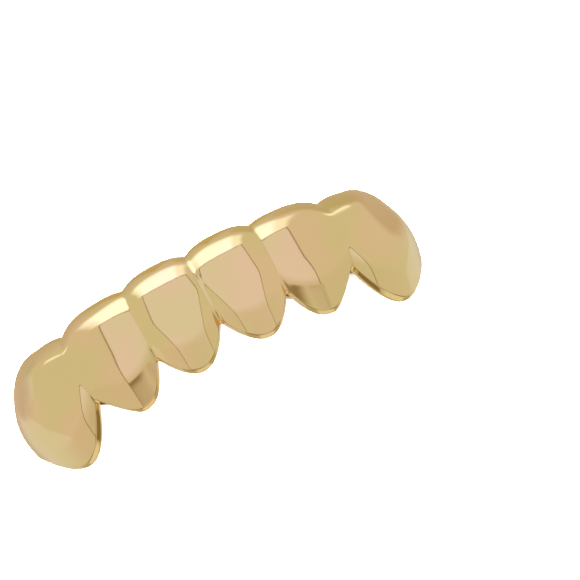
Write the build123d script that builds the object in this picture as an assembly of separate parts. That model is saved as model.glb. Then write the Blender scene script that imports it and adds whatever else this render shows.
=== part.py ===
from build123d import *
import math
import os
from collections import namedtuple

# Tooth cover for the six lower front teeth, canine to canine: one thin-walled metal trough,
# open on the gum side, with a crease between each two teeth and a closed wall at each end.
# Millimetres. X runs along the teeth, +Y points to the biting edge and -Y to the gums, and +Z
# is the lip side. The cover lies lip side up on the flat outer faces of its two end walls.

# Driving sizes
wall = 0.7              # thickness of the metal
end_wall = 1.0          # thickness of the wall that closes each end
end_draw = 0.42         # how far the sides draw in around an end wall's flat face
crown = 10.9            # height of a middle tooth, from its scallop's tip to its biting edge
front = 3.0             # from the trough's middle line to the lip face of a middle tooth
back = 4.5              # from the trough's middle line to the tongue face of a middle tooth
tooth_length = 6.2      # along the middle line, for one middle tooth
side_length = 5.9       # the same for the tooth beside it
corner_near = 3.46      # canine, from its crease to the line down its middle
corner_far = 5.39       # canine, from that line round to the upright end
face_radius = 7.8       # bulge of the lip and tongue faces from rim to biting edge
shoulder_radius = 2.9   # rounding between the lip face and the bevel above it
edge_radius = 1.1       # rounding of the biting edge, at the top of the bevel
ridge_radius = 1.5      # rounding of the biting edge on the tongue side
back_lean = 1.6         # how far the tongue face leans in at the top
back_tuck = 0.2         # how far the tongue face draws in at its rim
back_belly = 0.4        # share of the tongue face's height at which it is fullest
leg_room = 0.96         # share of a straight leg that the roundings at its ends may take up
corner_radii = [face_radius, shoulder_radius, edge_radius, ridge_radius, face_radius]

# The middle line of one half, from the midline out: the length of each stretch and the angle
# in degrees through which it turns. The last stretch is straight and stands upright.
Stretch = namedtuple("Stretch", "length turn")
ARCH = [
    Stretch(tooth_length, 10.5),
    Stretch(side_length, 20.5),
    Stretch(corner_near, 22),
    Stretch(corner_far, 37),
    Stretch(end_wall, 0),
]

# A cross-section of the trough. Heights are shares of crown: rim and top end the lip face, and
# back_rim the tongue face. Lip, tuck and lean are shares of front, and tongue is a share of back:
# lip and tongue are the faces, tuck and lean how far the lip face draws in at its rim and top.
# Bevel, a share of front too, is how far the bevel above the lip face goes both up and in.
# Belly is the share of the lip face's height at which it is fullest. Slant is the angle in
# degrees by which the section leans towards the far end.
Section = namedtuple("Section", "rim top lip tongue back_rim tuck lean bevel belly slant",
                     defaults=[0.35, 0.0])

# The section down the middle of each tooth, from the midline out
MIDDLES = [
    Section(rim=-0.007, top=0.993, lip=1.00, tongue=1.00, back_rim=0.30, tuck=0.27, lean=0.16, bevel=0.45),
    Section(rim=-0.038, top=0.969, lip=0.87, tongue=1.00, back_rim=0.30, tuck=0.38, lean=0.16, bevel=0.45),
    Section(rim=-0.164, top=0.919, lip=1.08, tongue=0.98, back_rim=0.26, tuck=0.35, lean=0.32, bevel=0.33,
            slant=0.7),
]

# The section at each crease, from the midline out
CREASES = [
    Section(rim=0.299, top=0.939, lip=0.75, tongue=0.87, back_rim=0.43, tuck=0.24, lean=0.16, bevel=0.32),
    Section(rim=0.279, top=0.936, lip=0.77, tongue=0.87, back_rim=0.43, tuck=0.24, lean=0.16, bevel=0.32),
    Section(rim=0.241, top=0.876, lip=0.84, tongue=0.87, back_rim=0.40, tuck=0.24, lean=0.16, bevel=0.32,
            slant=4.8),
]

# The canine's round far side: the shares of corner_far at which its sections stand, and the sections
CORNER_SHARES = [0.35, 0.70, 1.00]
CORNER = [
    Section(rim=-0.093, top=0.934, lip=1.26, tongue=0.97, back_rim=0.30,
            tuck=0.37, lean=0.47, bevel=0.30, belly=0.37, slant=1.9),
    Section(rim=0.088, top=0.895, lip=1.45, tongue=0.92, back_rim=0.34,
            tuck=0.32, lean=0.53, bevel=0.28, belly=0.40, slant=0.5),
    Section(rim=0.207, top=0.851, lip=1.55, tongue=0.84, back_rim=0.38,
            tuck=0.36, lean=0.58, bevel=0.28, belly=0.45),
]

# Shares of a half tooth at which its sections stand. On the way from a tooth's middle to its
# crease each size follows a power of that share: the higher the power, the later it changes.
STATIONS = [0, 0.4, 0.75, 1]
FACE_POWER = 2.6
TOP_POWER = 3.1
BACK_POWER = 2.0
LIP_POWERS = [2.1, 2.1, 1.0]            # for each tooth from the midline out
NEAR_RIM_POWERS = [2.0, 2.7, 1.8]       # the same, for the half nearer the midline
FAR_RIM_POWERS = [1.9, 1.5]             # for the far half, where it ends in a crease


def along(distance):
    """Place of the middle line at a distance from the midline: x, z and heading."""
    x = z = heading = 0.0
    for stretch in ARCH:
        step = min(distance, stretch.length)
        turn = math.radians(stretch.turn) * step / stretch.length
        chord = step if turn == 0 else step * math.sin(turn / 2) / (turn / 2)
        x += chord * math.cos(heading + turn / 2)
        z -= chord * math.sin(heading + turn / 2)
        heading += turn
        distance -= step
        if distance <= 0:
            break
    return x, z, heading


def blend(middle, crease, share, rim_power, lip_power):
    """Section part of the way from a tooth's middle to its crease."""
    powers = Section(rim=rim_power, top=TOP_POWER, lip=lip_power, tongue=FACE_POWER,
                     back_rim=BACK_POWER, tuck=FACE_POWER, lean=FACE_POWER,
                     bevel=FACE_POWER, belly=FACE_POWER, slant=1)
    return Section(*[m + (c - m) * share ** p for m, c, p in zip(middle, crease, powers)])


def drawn_in(section, depth):
    """Section smaller by a depth all round."""
    return section._replace(rim=section.rim + depth / crown, top=section.top - depth / crown,
                            lip=section.lip - depth / front, tongue=section.tongue - depth / back)


def outer_points(section):
    """Corners of the outer outline, from the lip rim over the biting edge to the back rim."""
    rim = section.rim * crown
    top = section.top * crown
    back_rim = section.back_rim * crown
    lip = section.lip * front
    tongue = section.tongue * back
    return [
        Vector(lip - section.tuck * front, rim),
        Vector(lip, rim + section.belly * (top - rim)),
        Vector(lip - section.lean * front, top - section.bevel * front),
        Vector(lip - (section.lean + section.bevel) * front, top),
        Vector(back_lean - tongue, top),
        Vector(-tongue, back_rim + back_belly * (top - back_rim)),
        Vector(back_tuck - tongue, back_rim),
    ]


def inset(points, depth):
    """The outline moved inwards by a depth, its ends square to the rim."""
    legs = [(b - a).normalized() for a, b in zip(points, points[1:])]
    inwards = [Vector(-leg.Y, leg.X) for leg in legs]
    moved = [points[0] + inwards[0] * depth]
    for corner, before, after in zip(points[1:], inwards, inwards[1:]):
        moved.append(corner + (before + after) * (depth / (1 + before.dot(after))))
    moved.append(points[-1] + inwards[-1] * depth)
    return moved


def rounded(points, radii):
    """Edges of an open outline with each inner corner rounded, as far as its legs allow."""
    legs = [(b - a) for a, b in zip(points, points[1:])]
    dirs = [leg.normalized() for leg in legs]
    reach = [0.0]
    for before, after, radius in zip(dirs, dirs[1:], radii):
        reach.append(radius * math.tan(math.radians(before.get_angle(after)) / 2))
    reach.append(0.0)
    for i, leg in enumerate(legs):
        room = leg_room * leg.length
        if reach[i] + reach[i + 1] > room:
            share = room / (reach[i] + reach[i + 1])
            reach[i] *= share
            reach[i + 1] *= share
    edges = []
    start = points[0]
    for i in range(1, len(points) - 1):
        first = points[i] - dirs[i - 1] * reach[i]
        last = points[i] + dirs[i] * reach[i]
        edges.append(Edge.make_line(start, first))
        edges.append(Edge.make_tangent_arc(first, dirs[i - 1], last))
        start = last
    edges.append(Edge.make_line(start, points[-1]))
    return edges


def section_wire(section, plane):
    """Closed outline of the trough's metal in one cross-section."""
    outer = outer_points(section)
    inner = inset(outer, wall)
    edges = rounded(outer, corner_radii)
    edges.append(Edge.make_line(outer[-1], inner[-1]))
    edges += rounded(inner, [radius - wall for radius in corner_radii])
    edges.append(Edge.make_line(inner[0], outer[0]))
    return plane.from_local_coords(Wire(edges))


def section_plane(distance, slant):
    """Plane across the middle line, its x axis pointing out through the lip face."""
    x, z, heading = along(distance)
    angle = math.radians(slant)
    outwards = Vector(math.sin(heading), 0, math.cos(heading))
    forwards = Vector(math.cos(heading), 0, -math.sin(heading))
    upwards = Vector(0, math.cos(angle), 0) + forwards * math.sin(angle)
    return Plane(origin=(x, 0, z), x_dir=outwards, z_dir=outwards.cross(upwards))


def half_sections():
    """For each tooth of one half, the distances and sections that its loft runs through."""
    halves = [
        (tooth_length / 2, tooth_length / 2),
        (side_length / 2, side_length / 2),
        (corner_near, corner_far),
    ]
    teeth = []
    start = 0.0
    for i, (near, far) in enumerate(halves):
        middle = start + near
        rows = [(middle - share * near,
                 blend(MIDDLES[i], CREASES[i], share, NEAR_RIM_POWERS[i], LIP_POWERS[i]))
                for share in reversed(STATIONS)]
        if i + 1 < len(CREASES):
            rows += [(middle + share * far,
                      blend(MIDDLES[i], CREASES[i + 1], share, FAR_RIM_POWERS[i], LIP_POWERS[i]))
                     for share in STATIONS[1:]]
        else:
            rows += [(middle + share * far, section) for share, section in zip(CORNER_SHARES, CORNER)]
            rows.append((middle + far + end_wall, drawn_in(CORNER[-1], end_draw)))
        teeth.append(rows)
        start = middle + far
    return teeth


def end_plate():
    """Wall that closes the far end, its edges inside the metal around it."""
    section = drawn_in(CORNER[-1], end_draw)
    depth = (wall - end_draw) / 2
    points = inset(outer_points(section), depth)
    edges = rounded(points, [radius - depth for radius in corner_radii])
    edges.append(Edge.make_line(points[-1], points[0]))
    total = sum(stretch.length for stretch in ARCH)
    plane = section_plane(total, section.slant)
    return extrude(Face(plane.from_local_coords(Wire(edges))), amount=end_wall, dir=(0, 0, 1))


def tooth_cover():
    """The whole cover: three lofted teeth and an end wall, mirrored about the midline."""
    pieces = []
    for rows in half_sections():
        wires = [section_wire(section, section_plane(distance, section.slant)) for distance, section in rows]
        pieces.append(Solid.make_loft(wires))
    pieces.append(end_plate())
    half = pieces[0].fuse(*pieces[1:])
    whole = half.fuse(half.mirror(Plane.YZ))
    box = whole.bounding_box()
    return Pos(0, -box.center().Y, -box.min.Z) * whole


if __name__ == "__main__":
    os.makedirs("parts", exist_ok=True)
    cover = tooth_cover()
    export_step(cover, "parts/tooth_cover.step")
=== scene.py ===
import math
from collections import namedtuple

import bpy
import numpy as np
from mathutils import Matrix, Vector


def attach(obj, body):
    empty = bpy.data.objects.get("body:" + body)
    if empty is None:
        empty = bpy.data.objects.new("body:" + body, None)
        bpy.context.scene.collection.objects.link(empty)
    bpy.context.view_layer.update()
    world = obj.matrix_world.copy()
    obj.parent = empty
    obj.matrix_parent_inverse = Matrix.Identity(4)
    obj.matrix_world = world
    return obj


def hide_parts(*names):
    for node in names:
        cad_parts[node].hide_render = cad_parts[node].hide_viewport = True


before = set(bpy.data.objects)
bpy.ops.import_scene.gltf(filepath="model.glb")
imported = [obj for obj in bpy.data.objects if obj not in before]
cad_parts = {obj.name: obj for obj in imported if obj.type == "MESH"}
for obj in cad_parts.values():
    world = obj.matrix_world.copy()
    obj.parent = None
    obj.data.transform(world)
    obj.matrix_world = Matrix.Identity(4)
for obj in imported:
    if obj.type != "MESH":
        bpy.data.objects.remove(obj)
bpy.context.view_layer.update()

# The tooth cover lies lip side up on a white floor. Its visible skin follows the cross-sections
# of its solid, laid out more finely, and the polished metal mirrors a soft studio tent. X runs
# along the teeth, +Y points to the biting edge and -Y to the gums, and +Z is the lip side.

MM = 0.001              # one millimetre in the scene's metres

# Driving sizes of the cover in millimetres, as its solid has them
WALL = 0.7              # thickness of the metal
END_WALL = 1.0          # thickness of the wall that closes each end
END_DRAW = 0.42         # how far the sides draw in around an end wall's flat face
CROWN = 10.9            # height of a middle tooth, from its scallop's tip to its biting edge
FRONT = 3.0             # from the trough's middle line to the lip face of a middle tooth
BACK = 4.5              # from the trough's middle line to the tongue face of a middle tooth
TOOTH_LENGTH = 6.2      # along the middle line, for one middle tooth
SIDE_LENGTH = 5.9       # the same for the tooth beside it
CORNER_NEAR = 3.46      # canine, from its crease to the line down its middle
CORNER_FAR = 5.39       # canine, from that line round to the upright end
FACE_RADIUS = 7.8       # bulge of the lip and tongue faces from rim to biting edge
SHOULDER_RADIUS = 2.9   # rounding between the lip face and the bevel above it
EDGE_RADIUS = 1.1       # rounding of the biting edge, at the top of the bevel
RIDGE_RADIUS = 1.5      # rounding of the biting edge on the tongue side
BACK_LEAN = 1.6         # how far the tongue face leans in at the top
BACK_TUCK = 0.2         # how far the tongue face draws in at its rim
BACK_BELLY = 0.4        # share of the tongue face's height at which it is fullest
LEG_ROOM = 0.96         # share of a straight leg that the roundings at its ends may take up
CORNER_RADII = [FACE_RADIUS, SHOULDER_RADIUS, EDGE_RADIUS, RIDGE_RADIUS, FACE_RADIUS]

# The middle line of one half, from the midline out: each stretch's length and its turn in degrees
ARCH = [
    (TOOTH_LENGTH, 10.5),
    (SIDE_LENGTH, 20.5),
    (CORNER_NEAR, 22),
    (CORNER_FAR, 37),
    (END_WALL, 0),
]

# A cross-section. Heights are shares of CROWN: rim and top end the lip face, and back_rim the
# tongue face. Lip, tuck and lean are shares of FRONT, and tongue is a share of BACK: lip and tongue
# are the faces, tuck and lean how far the lip face draws in at its rim and top. Bevel, a share of
# FRONT too, is how far the bevel above the lip face goes both up and in. Belly is the share of the
# lip face's height at which it is fullest. Slant is the angle in degrees by which the section
# leans towards the far end.
Section = namedtuple("Section", "rim top lip tongue back_rim tuck lean bevel belly slant",
                     defaults=[0.35, 0.0])

# The section down the middle of each tooth, from the midline out
MIDDLES = [
    Section(rim=-0.007, top=0.993, lip=1.00, tongue=1.00, back_rim=0.30, tuck=0.27, lean=0.16, bevel=0.45),
    Section(rim=-0.038, top=0.969, lip=0.87, tongue=1.00, back_rim=0.30, tuck=0.38, lean=0.16, bevel=0.45),
    Section(rim=-0.164, top=0.919, lip=1.08, tongue=0.98, back_rim=0.26, tuck=0.35, lean=0.32, bevel=0.33,
            slant=0.7),
]

# The section at each crease, from the midline out
CREASES = [
    Section(rim=0.299, top=0.939, lip=0.75, tongue=0.87, back_rim=0.43, tuck=0.24, lean=0.16, bevel=0.32),
    Section(rim=0.279, top=0.936, lip=0.77, tongue=0.87, back_rim=0.43, tuck=0.24, lean=0.16, bevel=0.32),
    Section(rim=0.241, top=0.876, lip=0.84, tongue=0.87, back_rim=0.40, tuck=0.24, lean=0.16, bevel=0.32,
            slant=4.8),
]

# The canine's round far side: the shares of CORNER_FAR at which its sections stand, and the sections
CORNER_SHARES = [0.35, 0.70, 1.00]
CORNER = [
    Section(rim=-0.093, top=0.934, lip=1.26, tongue=0.97, back_rim=0.30,
            tuck=0.37, lean=0.47, bevel=0.30, belly=0.37, slant=1.9),
    Section(rim=0.088, top=0.895, lip=1.45, tongue=0.92, back_rim=0.34,
            tuck=0.32, lean=0.53, bevel=0.28, belly=0.40, slant=0.5),
    Section(rim=0.207, top=0.851, lip=1.55, tongue=0.84, back_rim=0.38,
            tuck=0.36, lean=0.58, bevel=0.28, belly=0.45),
]

# On the way from a tooth's middle to its crease each size follows a power of the share of the way:
# the higher the power, the later it changes.
FACE_POWER = 2.6
TOP_POWER = 3.1
BACK_POWER = 2.0
LIP_POWERS = [2.1, 2.1, 1.0]            # for each tooth from the midline out
NEAR_RIM_POWERS = [2.0, 2.7, 1.8]       # the same, for the half nearer the midline
FAR_RIM_POWERS = [1.9, 1.5]             # for the far half, where it ends in a crease

# How finely the visible skin is laid out: lengths in millimetres, the rest are counts
COLUMN_STEP = 0.05      # from one section to the next before they are thinned out
COLUMN_KEEP = 2         # every second section is kept
END_COLUMNS = 9         # along the wall that closes each end
OUTER_POINTS = 96       # across the outer skin, from rim to rim
INNER_POINTS = 60       # across the inner skin
RIM_POINTS = 18         # round each rim, from the outer skin to the inner one
FLOOR_POINTS = 14       # across the open edge of the wall that closes each end
ARC_POINTS = 10         # round each corner of a section
PROFILE_STEP = 0.05     # from point to point across a section while its turns are softened
PROFILE_SOFT = 0.22     # softness of the turns across a section
CREASE_SOFT = 0.11      # softness of the creases between the teeth
SOFT_TAIL = 3           # how many times its softness an average reaches to each side
SHARP_ANGLE = 50        # degrees from which an edge is shaded as sharp

# A section's points, numbered from 0: outer skin, back rim, inner skin, lip rim
BACK_RIM = OUTER_POINTS
INNER_SKIN = BACK_RIM + RIM_POINTS
LIP_RIM = INNER_SKIN + INNER_POINTS
LOOP_POINTS = LIP_RIM + RIM_POINTS

# The edge of the metal at a rim: how far in from the outer skin, and how far from the rim's end
RIM_PROFILE = [(0.0, 0.50), (0.0, 0.37), (0.31, 0.0), (WALL, 0.0), (WALL, 0.30)]
RIM_RADII = [0.10, 0.10, 0.14]


def along(distance):
    """Place of the middle line at a distance from the midline: x, z and heading."""
    x = z = heading = 0.0
    for length, turn in ARCH:
        step = min(distance, length)
        angle = math.radians(turn) * step / length
        chord = step if angle == 0 else step * math.sin(angle / 2) / (angle / 2)
        x += chord * math.cos(heading + angle / 2)
        z -= chord * math.sin(heading + angle / 2)
        heading += angle
        distance -= step
        if distance <= 0:
            break
    return x, z, heading


def blend(middle, crease, share, rim_power, lip_power):
    """Section part of the way from a tooth's middle to its crease."""
    powers = Section(rim=rim_power, top=TOP_POWER, lip=lip_power, tongue=FACE_POWER,
                     back_rim=BACK_POWER, tuck=FACE_POWER, lean=FACE_POWER,
                     bevel=FACE_POWER, belly=FACE_POWER, slant=1)
    return Section(*[m + (c - m) * share ** p for m, c, p in zip(middle, crease, powers)])


def smooth_through(knots, rows, at, slope):
    """Value at one place of the smooth curve through rows at knots, with its slope at the start."""
    slopes = [slope]
    for i in range(1, len(knots) - 1):
        before = (rows[i] - rows[i - 1]) / (knots[i] - knots[i - 1])
        after = (rows[i + 1] - rows[i]) / (knots[i + 1] - knots[i])
        share = (knots[i] - knots[i - 1]) / (knots[i + 1] - knots[i - 1])
        slopes.append(before * (1 - share) + after * share)
    slopes.append(2 * (rows[-1] - rows[-2]) / (knots[-1] - knots[-2]) - slopes[-1])
    i = max(0, min(len(knots) - 2, int(np.searchsorted(knots, at, side="right")) - 1))
    span = knots[i + 1] - knots[i]
    t = (at - knots[i]) / span
    return (rows[i] * (1 + 2 * t) * (1 - t) ** 2 + slopes[i] * span * t * (1 - t) ** 2
            + rows[i + 1] * t * t * (3 - 2 * t) - slopes[i + 1] * span * t * t * (1 - t))


def section_at(distance):
    """Cross-section of one half at a distance from the midline."""
    halves = [
        (TOOTH_LENGTH / 2, TOOTH_LENGTH / 2),
        (SIDE_LENGTH / 2, SIDE_LENGTH / 2),
        (CORNER_NEAR, CORNER_FAR),
    ]
    start = 0.0
    for i, (near, far) in enumerate(halves):
        middle = start + near
        if distance <= middle:
            share = (middle - distance) / near
            return blend(MIDDLES[i], CREASES[i], share, NEAR_RIM_POWERS[i], LIP_POWERS[i])
        if i + 1 < len(halves) and distance <= middle + far:
            share = (distance - middle) / far
            return blend(MIDDLES[i], CREASES[i + 1], share, FAR_RIM_POWERS[i], LIP_POWERS[i])
        start = middle + far
    knots = [0.0] + [share * CORNER_FAR for share in CORNER_SHARES]
    rows = np.array([MIDDLES[-1]] + CORNER)
    level = Section(*[0.0] * len(Section._fields))
    slope = level._replace(lip=(MIDDLES[-1].lip - CREASES[-1].lip) / CORNER_NEAR,
                           slant=(MIDDLES[-1].slant - CREASES[-1].slant) / CORNER_NEAR)
    return Section(*smooth_through(knots, rows, min(distance - middle, CORNER_FAR), np.array(slope)))


def drawn_in(section, depth):
    """Section smaller by a depth all round."""
    return section._replace(rim=section.rim + depth / CROWN, top=section.top - depth / CROWN,
                            lip=section.lip - depth / FRONT, tongue=section.tongue - depth / BACK)


def outer_corners(section):
    """Corners of the outer outline, from the lip rim over the biting edge to the back rim."""
    rim = section.rim * CROWN
    top = section.top * CROWN
    back_rim = section.back_rim * CROWN
    lip = section.lip * FRONT
    tongue = section.tongue * BACK
    return np.array([
        (lip - section.tuck * FRONT, rim),
        (lip, rim + section.belly * (top - rim)),
        (lip - section.lean * FRONT, top - section.bevel * FRONT),
        (lip - (section.lean + section.bevel) * FRONT, top),
        (BACK_LEAN - tongue, top),
        (-tongue, back_rim + BACK_BELLY * (top - back_rim)),
        (BACK_TUCK - tongue, back_rim),
    ])


def unit(rows):
    """Each row scaled to length 1."""
    return rows / np.linalg.norm(rows, axis=-1, keepdims=True)


def inset(points, depth):
    """The outline moved inwards by a depth, its ends square to the rim."""
    legs = unit(np.diff(points, axis=0))
    inwards = np.stack([-legs[:, 1], legs[:, 0]], axis=1)
    moved = [points[0] + inwards[0] * depth]
    for corner, before, after in zip(points[1:], inwards, inwards[1:]):
        moved.append(corner + (before + after) * (depth / (1 + before @ after)))
    moved.append(points[-1] + inwards[-1] * depth)
    return np.array(moved)


def rounded(points, radii):
    """Dense points along an open outline with its inner corners rounded."""
    legs = np.diff(points, axis=0)
    lengths = np.linalg.norm(legs, axis=1)
    dirs = legs / lengths[:, None]
    half_turns = [math.acos(max(-1.0, min(1.0, float(a @ b)))) / 2 for a, b in zip(dirs, dirs[1:])]
    reach = [radius * math.tan(half_turn) for radius, half_turn in zip(radii, half_turns)]
    reach = [0.0, *reach, 0.0]
    for i, length in enumerate(lengths):
        room = LEG_ROOM * length
        if reach[i] + reach[i + 1] > room:
            share = room / (reach[i] + reach[i + 1])
            reach[i] *= share
            reach[i + 1] *= share
    path = [points[0]]
    for i, half_turn in enumerate(half_turns, start=1):
        first = points[i] - dirs[i - 1] * reach[i]
        last = points[i] + dirs[i] * reach[i]
        weight = math.cos(half_turn)
        for t in np.linspace(0, 1, ARC_POINTS):
            shares = np.array([(1 - t) ** 2, 2 * t * (1 - t) * weight, t * t])
            path.append((shares[0] * first + shares[1] * points[i] + shares[2] * last) / shares.sum())
    path.append(points[-1])
    return np.array(path)


def lengths_along(path):
    """Length along a path from its start to each of its points."""
    steps = np.linalg.norm(np.diff(path, axis=0), axis=1)
    return np.concatenate([[0.0], np.cumsum(steps)])


def points_at(path, run, places):
    """Points of a path at places along it, run being the length to each of its own points."""
    return np.stack([np.interp(places, run, path[:, k]) for k in range(path.shape[1])], axis=1)


def evenly(path, count):
    """Points at equal steps along a path."""
    run = lengths_along(path)
    return points_at(path, run, np.linspace(0, run[-1], count))


def trimmed(path, cut):
    """The path without a length at each end."""
    run = lengths_along(path)
    kept = (run > cut) & (run < run[-1] - cut)
    ends = points_at(path, run, [cut, run[-1] - cut])
    return np.concatenate([ends[:1], path[kept], ends[1:]])


def softened(rows, reach):
    """Rows averaged with their neighbours along the first axis; the two ends stay put."""
    half = max(1, math.ceil(SOFT_TAIL * reach))
    weights = np.exp(-0.5 * (np.arange(-half, half + 1) / reach) ** 2)
    weights /= weights.sum()
    before = 2 * rows[0] - rows[1:half + 1][::-1]
    after = 2 * rows[-1] - rows[-half - 1:-1][::-1]
    padded = np.concatenate([before, rows, after])
    return sum(w * padded[k:k + len(rows)] for k, w in enumerate(weights))


def skin(corners, radii, cut, count):
    """Even points along one skin of a section, its turns softened, trimmed at both rims."""
    path = rounded(corners, radii)
    path = evenly(path, int(lengths_along(path)[-1] / PROFILE_STEP))
    path = softened(path, PROFILE_SOFT / PROFILE_STEP)
    return evenly(trimmed(path, cut), count)


def rim_edge(outer_end, inner_end, down):
    """Points round the edge of the metal, from the outer skin to the inner one, without the ends."""
    inwards = unit(inner_end - outer_end)
    corners = np.array([outer_end + inwards * across - down * up for across, up in RIM_PROFILE])
    return evenly(rounded(corners, RIM_RADII), RIM_POINTS + 2)[1:-1]


def section_loop(section):
    """Closed outline of the metal: outer skin, back rim, inner skin and lip rim."""
    corners = outer_corners(section)
    inner_corners = inset(corners, WALL)
    inner_radii = [radius - WALL for radius in CORNER_RADII]
    outer = skin(corners, CORNER_RADII, RIM_PROFILE[0][1], OUTER_POINTS)
    inner = skin(inner_corners, inner_radii, RIM_PROFILE[-1][1], INNER_POINTS)
    back_rim = rim_edge(corners[-1], inner_corners[-1], unit(corners[-1] - corners[-2]))
    lip_rim = rim_edge(corners[0], inner_corners[0], unit(corners[0] - corners[1]))
    return np.concatenate([outer, back_rim, inner[::-1], lip_rim[::-1]])


def placed(section, distance):
    """A section's points in space, at their distance along the middle line."""
    x, z, heading = along(distance)
    angle = math.radians(section.slant)
    loop = section_loop(section)
    out = loop[:, 0]
    forward = loop[:, 1] * math.sin(angle)
    return np.stack([
        x + out * math.sin(heading) + forward * math.cos(heading),
        loop[:, 1] * math.cos(angle),
        z + out * math.cos(heading) - forward * math.sin(heading),
    ], axis=1)


def cover_points():
    """Rows of section points from end wall to end wall, and the rows that round off one end."""
    open_length = sum(length for length, turn in ARCH[:-1])
    count = int(round(open_length / COLUMN_STEP))
    distances = np.linspace(0, open_length, count + 1)
    half = np.array([placed(section_at(d), d) for d in distances])
    mirrored = half[:0:-1] * np.array([-1, 1, 1])
    rows = softened(np.concatenate([mirrored, half]), CREASE_SOFT / COLUMN_STEP)
    kept = [*range(0, len(rows) - 1, COLUMN_KEEP), len(rows) - 1]
    end_section = section_at(open_length)
    end_rows = []
    for t in np.linspace(0, 1, END_COLUMNS + 1)[1:]:
        depth = END_DRAW * (1 - math.sqrt(1 - t * t))
        end_rows.append(placed(drawn_in(end_section, depth), open_length + t * END_WALL))
    return rows[kept], end_rows


def skin_faces(row_count):
    """Faces between neighbouring sections, and for each whether it lies inside the trough."""
    faces = []
    inside = []
    for j in range(row_count - 1):
        for k in range(LOOP_POINTS):
            a = j * LOOP_POINTS + k
            b = j * LOOP_POINTS + (k + 1) % LOOP_POINTS
            faces.append((a, b, b + LOOP_POINTS, a + LOOP_POINTS))
            inside.append(INNER_SKIN <= k < LIP_RIM - 1)
    return faces, inside


def facing(face, side):
    """The face as it is listed for side 1, and turned over for side -1."""
    return tuple(face) if side == 1 else tuple(reversed(face))


def added(points, verts):
    """Add points to verts and give their numbers there."""
    first = len(verts)
    verts.extend(points)
    return list(range(first, len(verts)))


def open_edge(back_end, lip_end):
    """Points between the two rims along the open edge of an end wall."""
    return [back_end + (lip_end - back_end) * t for t in np.linspace(0, 1, FLOOR_POINTS + 2)[1:-1]]


def close_end(side, rows, end_rows, verts, faces, inside):
    """Add the wall that closes the +X end (side 1) or the -X end (side -1)."""
    rim_middle = RIM_POINTS // 2
    around = [*range(LIP_RIM + rim_middle, LOOP_POINTS), *range(BACK_RIM + rim_middle)]
    within = range(BACK_RIM + rim_middle - 1, LIP_RIM + rim_middle + 1)
    last_row = len(rows) - 1 if side == 1 else 0
    first = last_row * LOOP_POINTS

    # Inner face of the wall, between the inner skin and the wall's open edge
    row = rows[last_row]
    edge = added(open_edge(row[around[-1]], row[around[0]]), verts)
    wall_face = [first + k for k in within] + edge[::-1]
    faces.append(facing(wall_face, -side))
    inside.append(True)

    # Bands from that section to the wall's flat face, then the flat face
    ring = [first + k for k in around] + edge
    for end_row in end_rows:
        row = end_row * np.array([side, 1, 1])
        next_ring = added(row[around], verts)
        next_ring += added(open_edge(row[around[-1]], row[around[0]]), verts)
        for band in zip(ring, ring[1:] + ring[:1], next_ring[1:] + next_ring[:1], next_ring):
            faces.append(facing(band, side))
            inside.append(False)
        ring = next_ring
    faces.append(facing(ring, side))
    inside.append(False)


def cover_mesh(name):
    """Mesh of the whole cover in the frame's place, in metres."""
    rows, end_rows = cover_points()
    verts = list(rows.reshape(-1, 3))
    faces, inside = skin_faces(len(rows))
    for side in (1, -1):
        close_end(side, rows, end_rows, verts, faces, inside)
    points = np.array(verts)
    low = points.min(axis=0)
    high = points.max(axis=0)
    points -= np.array([0, (low[1] + high[1]) / 2, low[2]])
    mesh = bpy.data.meshes.new(name)
    mesh.from_pydata((points * MM).tolist(), [], faces)
    mesh.validate()
    mesh.polygons.foreach_set("material_index", [int(flag) for flag in inside])
    mesh.update()
    return mesh


cover = bpy.data.objects.new("gold_cover", cover_mesh("gold_cover"))
bpy.context.scene.collection.objects.link(cover)
cover.data.shade_smooth()
cover.data.set_sharp_from_angle(angle=math.radians(SHARP_ANGLE))

# Looks of the metal: polished outside and round the rims, duller inside the trough
POLISHED = (0.795, 0.596, 0.229)
POLISHED_TINT = (0.85, 0.577, 0.252)
POLISHED_ROUGHNESS = 0.06
INSIDE = (0.72, 0.46, 0.17)
INSIDE_TINT = (0.78, 0.52, 0.22)
INSIDE_ROUGHNESS = 0.28
DRIFT_SCALE = 200.0     # of the noise by which the colour drifts to its tint, per metre
DRIFT_DETAIL = 1.0
DRIFT_START = 0.38      # value of the noise up to which the metal has its plain colour
DRIFT_END = 0.62        # value from which it has the tint


def rough_material(name, roughness):
    """Material of one roughness, and its shader."""
    material = bpy.data.materials.new(name)
    material.use_nodes = True
    shader = material.node_tree.nodes["Principled BSDF"]
    shader.inputs["Roughness"].default_value = roughness
    return material, shader


def gold(name, base, tint, roughness):
    """Gold whose hue drifts softly from place to place."""
    material, shader = rough_material(name, roughness)
    nodes = material.node_tree.nodes
    links = material.node_tree.links
    place = nodes.new("ShaderNodeTexCoord")
    drift = nodes.new("ShaderNodeTexNoise")
    drift.inputs["Scale"].default_value = DRIFT_SCALE
    drift.inputs["Detail"].default_value = DRIFT_DETAIL
    ramp = nodes.new("ShaderNodeValToRGB")
    for stop, position, value in zip(ramp.color_ramp.elements, (DRIFT_START, DRIFT_END), (base, tint)):
        stop.position = position
        stop.color = (*value, 1)
    links.new(place.outputs["Object"], drift.inputs["Vector"])
    links.new(drift.outputs["Fac"], ramp.inputs["Fac"])
    links.new(ramp.outputs["Color"], shader.inputs["Base Color"])
    shader.inputs["Metallic"].default_value = 1.0
    return material


cover.data.materials.append(gold("gold_polished", POLISHED, POLISHED_TINT, POLISHED_ROUGHNESS))
cover.data.materials.append(gold("gold_inside", INSIDE, INSIDE_TINT, INSIDE_ROUGHNESS))

# Floor
FLOOR_HALF = 0.3        # metres from its middle to each side
FLOOR_WHITE = (0.92, 0.92, 0.915)
FLOOR_ROUGHNESS = 0.9

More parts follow.
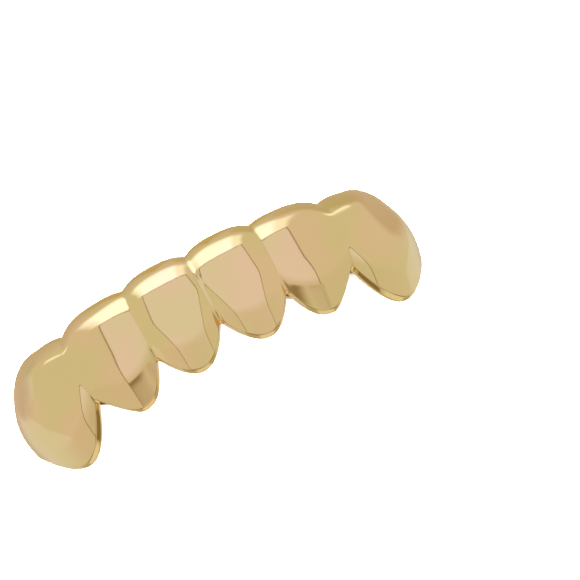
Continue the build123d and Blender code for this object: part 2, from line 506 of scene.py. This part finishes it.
floor_mesh = bpy.data.meshes.new("floor")
corner_signs = [(-1, -1), (1, -1), (1, 1), (-1, 1)]
floor_corners = [(x * FLOOR_HALF, y * FLOOR_HALF, 0) for x, y in corner_signs]
floor_mesh.from_pydata(floor_corners, [], [(0, 1, 2, 3)])
floor = bpy.data.objects.new("floor", floor_mesh)
bpy.context.scene.collection.objects.link(floor)
floor_material, floor_shader = rough_material("floor_white", FLOOR_ROUGHNESS)
floor_shader.inputs["Base Color"].default_value = (*FLOOR_WHITE, 1)
floor_mesh.materials.append(floor_material)
floor.visible_glossy = False

# World: a soft studio tent of coloured fields, laid out by the direction they lie in, in degrees.
# Side runs from overhead (0) towards +X (90), and rise from overhead towards +Y (90). Across is
# the angle off the YZ plane towards +X, and lift the angle off the XZ plane towards +Y.
# Two numbers are where a field starts and where it is full; three are a window's two limits and
# the softness outside them.
TENT = (0.78, 0.80, 0.90)

# Walls beyond both ends
END_WALLS = (0.84, 0.89, 1.12)
LEFT_WALL_SIDE = (-84, -88)
RIGHT_WALL_SIDE = (111, 116)
WALL_TILT = 1.2         # how much further round both walls start for each degree of lift

# Grey wall past the biting edge, and the brown shade on it towards +X
BACK_WALL = (0.67, 0.65, 0.72)
BACK_RISE = (74, 120)
BACK_ACROSS = (60, 48)
BACK_LIFT = (17, 26)
SIDE_SHADE = (0.64, 0.60, 0.55)
SHADE_ACROSS = (24, 56, 9)
SHADE_RISE = (84, 100)
SHADE_LIFT = (10, 24)

# Warm ground below both ends
UNDER = (0.66, 0.58, 0.40)
UNDER_SIDE = (128, 165)

# Towards the gums: a wall, a shade under it, a light under that, and dark corners at both ends
LOW_WALL = (0.74, 0.76, 0.83)
LOW_WALL_LIFT = (-4, -14)
GUM_SHADE = (0.58, 0.54, 0.50)
GUM_SHADE_LIFT = (-24, -32)
GUM_LIGHT = (0.90, 0.93, 1.00)
GUM_LIGHT_LIFT = (-50, -65)
EDGE_SHADE = (0.30, 0.23, 0.14)
EDGE_SIDE = (48, 85, 8)
EDGE_LIFT = (-52, -27, 4)

# Light panel overhead, which fades out towards the gums, with a thin dark seam beside and above it
PANEL = (0.87, 0.90, 1.25)
PANEL_LEFT = -37
PANEL_RIGHT = 40
PANEL_FOOT = -22
PANEL_TOP = 26
PANEL_SOFT = 0.4
PANEL_FADE = (-16, -4)
SEAM = (0.36, 0.30, 0.22)
SEAM_BESIDE = 1.4       # width of the seam on both sides
SEAM_ABOVE = 0.8        # its width at the top

# Band below the panel: dark towards -X, lighter towards +X
BAND_SIDE = (-37, 45, 2)
BAND_TOP = (-14.5, -16.5)
BAND_FOOT = (-24, -17.5)
LOW_BAND = (0.32, 0.28, 0.19)
LOW_BAND_SIDE = (14, -20)
LOW_PATCH = (0.64, 0.65, 0.70)
LOW_PATCH_SIDE = (4, 22)

# Bright strip above the panel, brightest in its middle, and a bright spot beyond each end
STRIP = (1.2, 1.36, 1.85)
STRIP_ACROSS = (-34, 33, 8)
STRIP_MIDDLE = (1.6, 1.7, 2.8)
STRIP_MIDDLE_ACROSS = (-27, 19, 9)
STRIP_LIFT = (26.6, 28.6)
STRIP_RISE = (84, 66)
SPOT = (1.25, 1.35, 1.9)
RIGHT_SPOT_SIDE = (85, 90, 3)
RIGHT_SPOT_LIFT = (26, 28, 2)
LEFT_SPOT_SIDE = (-83, -80, 2)
LEFT_SPOT_LIFT = (30, 32, 2)

# A mix node's sockets for two colours and their mixture, by number
MIX_UNDER = 6
MIX_OVER = 7
MIX_RESULT = 2

world = bpy.data.worlds.new("studio")
bpy.context.scene.world = world
world.use_nodes = True
tree = world.node_tree
tree.nodes.clear()


def math_node(operation, a, b=None):
    """Outcome of an operation on one or two values, each a number or another node's outcome."""
    node = tree.nodes.new("ShaderNodeMath")
    node.operation = operation
    for socket, value in zip(node.inputs, (a, b)):
        if value is None:
            continue
        if isinstance(value, (int, float)):
            socket.default_value = value
        else:
            tree.links.new(value, socket)
    return node.outputs[0]


def degrees(value):
    """An angle in radians turned into degrees."""
    return math_node("MULTIPLY", value, 180 / math.pi)


def step_up(value, start, end):
    """Share that goes smoothly from 0 at start to 1 at end, whichever of the two is higher."""
    node = tree.nodes.new("ShaderNodeMapRange")
    node.interpolation_type = "SMOOTHSTEP"
    tree.links.new(value, node.inputs["Value"])
    node.inputs["From Min"].default_value = start
    node.inputs["From Max"].default_value = end
    return node.outputs["Result"]


def window(value, low, high, soft):
    """Share that is 1 between low and high and falls to 0 over soft outside them."""
    up = step_up(value, low - soft, low)
    down = step_up(value, high, high + soft)
    return math_node("SUBTRACT", up, down)


def patch(first, *others):
    """Share that is 1 only where all the shares are."""
    share = first
    for other in others:
        share = math_node("MULTIPLY", share, other)
    return share


def mixed(share, under, over):
    """Colour that goes from under to over as share goes from 0 to 1."""
    node = tree.nodes.new("ShaderNodeMix")
    node.data_type = "RGBA"
    tree.links.new(share, node.inputs["Factor"])
    for number, value in ((MIX_UNDER, under), (MIX_OVER, over)):
        if isinstance(value, tuple):
            node.inputs[number].default_value = (*value, 1)
        else:
            tree.links.new(value, node.inputs[number])
    return node.outputs[MIX_RESULT]


place = tree.nodes.new("ShaderNodeTexCoord")
split = tree.nodes.new("ShaderNodeSeparateXYZ")
tree.links.new(place.outputs["Generated"], split.inputs[0])
dir_x, dir_y, dir_z = split.outputs
side = degrees(math_node("ARCTAN2", dir_x, dir_z))
rise = degrees(math_node("ARCTAN2", dir_y, dir_z))
across = degrees(math_node("ARCSINE", dir_x))
lift = degrees(math_node("ARCSINE", dir_y))
outer_side = math_node("ABSOLUTE", side)
outer_across = math_node("ABSOLUTE", across)

tilt = math_node("MULTIPLY", lift, WALL_TILT)
left_wall = step_up(math_node("ADD", side, tilt), *LEFT_WALL_SIDE)
right_wall = step_up(math_node("SUBTRACT", side, tilt), *RIGHT_WALL_SIDE)
back_wall = patch(step_up(rise, *BACK_RISE), step_up(outer_across, *BACK_ACROSS),
                  step_up(lift, *BACK_LIFT))
side_shade = patch(window(across, *SHADE_ACROSS), step_up(rise, *SHADE_RISE),
                   step_up(lift, *SHADE_LIFT))
seam = patch(window(side, PANEL_LEFT - SEAM_BESIDE, PANEL_RIGHT + SEAM_BESIDE, PANEL_SOFT),
             window(lift, PANEL_FOOT, PANEL_TOP + SEAM_ABOVE, PANEL_SOFT))
panel_side = window(side, PANEL_LEFT, PANEL_RIGHT, PANEL_SOFT)
within_seam = patch(panel_side, window(lift, PANEL_FOOT, PANEL_TOP, PANEL_SOFT))
panel = patch(panel_side, step_up(lift, PANEL_TOP + PANEL_SOFT, PANEL_TOP), step_up(lift, *PANEL_FADE))
band = patch(step_up(lift, *BAND_TOP), step_up(lift, *BAND_FOOT))
band_side = window(side, *BAND_SIDE)
strip_height = patch(step_up(lift, *STRIP_LIFT), step_up(rise, *STRIP_RISE))

# Each field covers those before it
fields = [
    (math_node("ADD", left_wall, right_wall), END_WALLS),
    (back_wall, BACK_WALL),
    (side_shade, SIDE_SHADE),
    (step_up(outer_side, *UNDER_SIDE), UNDER),
    (step_up(lift, *LOW_WALL_LIFT), LOW_WALL),
    (step_up(lift, *GUM_SHADE_LIFT), GUM_SHADE),
    (step_up(lift, *GUM_LIGHT_LIFT), GUM_LIGHT),
    (patch(window(outer_side, *EDGE_SIDE), window(lift, *EDGE_LIFT)), EDGE_SHADE),
    (seam, SEAM),
    (within_seam, LOW_WALL),
    (panel, PANEL),
    (patch(band_side, step_up(side, *LOW_BAND_SIDE), band), LOW_BAND),
    (patch(band_side, step_up(side, *LOW_PATCH_SIDE), band), LOW_PATCH),
    (patch(window(across, *STRIP_ACROSS), strip_height), STRIP),
    (patch(window(across, *STRIP_MIDDLE_ACROSS), strip_height), STRIP_MIDDLE),
    (patch(window(side, *RIGHT_SPOT_SIDE), window(lift, *RIGHT_SPOT_LIFT)), SPOT),
    (patch(window(side, *LEFT_SPOT_SIDE), window(lift, *LEFT_SPOT_LIFT)), SPOT),
]
colour = TENT
for share, field_colour in fields:
    colour = mixed(share, colour, field_colour)
background = tree.nodes.new("ShaderNodeBackground")
tree.links.new(colour, background.inputs["Color"])
output = tree.nodes.new("ShaderNodeOutputWorld")
tree.links.new(background.outputs[0], output.inputs["Surface"])

# Overhead light for the floor alone, in metres and watts: the polished metal doesn't mirror it
LAMP_SIZE = 0.5
LAMP_POWER = 45.0
LAMP_HEIGHT = 0.6

lamp_data = bpy.data.lights.new("overhead", "AREA")
lamp_data.shape = "DISK"
lamp_data.size = LAMP_SIZE
lamp_data.energy = LAMP_POWER
lamp = bpy.data.objects.new("overhead", lamp_data)
lamp.location = (0, 0, LAMP_HEIGHT)
lamp.visible_glossy = False
bpy.context.scene.collection.objects.link(lamp)

bpy.context.scene.view_settings.view_transform = "Standard"

# Camera. The photograph looks almost straight down on the lip side.
FRAME_PIXELS = 580
IMAGE_MIDDLE = (FRAME_PIXELS - 1) / 2
PIXELS_PER_MM = 11.41
NOTCH = Vector((0, -1.542, 12.410))     # the rim at the midline, in millimetres
NOTCH_PIXEL = (221.6, 324.4)            # where it shows in the frame
CAMERA_DISTANCE = 350.0                 # millimetres from the notch
CAMERA_LEAN = 11.1                      # degrees from overhead towards the gum side
CAMERA_SIDE = 3.7                       # degrees towards -X
CAMERA_ROLL = 27.6                      # degrees by which the row of teeth is turned in the frame
SENSOR_WIDTH = 36.0                     # millimetres
CLIP_START = 0.01                       # metres
CLIP_END = 2.0

camera_data = bpy.data.cameras.new("camera")
camera = bpy.data.objects.new("camera", camera_data)
bpy.context.scene.collection.objects.link(camera)
bpy.context.scene.camera = camera
camera_data.sensor_width = SENSOR_WIDTH
camera_data.lens = PIXELS_PER_MM * CAMERA_DISTANCE * SENSOR_WIDTH / FRAME_PIXELS
camera_data.clip_start = CLIP_START
camera_data.clip_end = CLIP_END
lean = math.radians(CAMERA_LEAN)
sway = math.radians(CAMERA_SIDE)
to_camera = Vector((
    -math.sin(sway) * math.cos(lean),
    -math.sin(lean),
    math.cos(sway) * math.cos(lean),
))
level_right = (Vector((1, 0, 0)) - to_camera * to_camera.x).normalized()
level_up = to_camera.cross(level_right)
roll = math.radians(CAMERA_ROLL)
right = level_right * math.cos(roll) - level_up * math.sin(roll)
up = level_right * math.sin(roll) + level_up * math.cos(roll)
aim_shift = right * (IMAGE_MIDDLE - NOTCH_PIXEL[0]) + up * (NOTCH_PIXEL[1] - IMAGE_MIDDLE)
aim = NOTCH + aim_shift / PIXELS_PER_MM
camera.location = (NOTCH + to_camera * CAMERA_DISTANCE) * MM
back_axis = (camera.location / MM - aim).normalized()
right_axis = (right - back_axis * right.dot(back_axis)).normalized()
up_axis = back_axis.cross(right_axis)
camera.rotation_mode = "QUATERNION"
camera.rotation_quaternion = Matrix((right_axis, up_axis, back_axis)).transposed().to_quaternion()

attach(cover, "root")
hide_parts("tooth_cover")
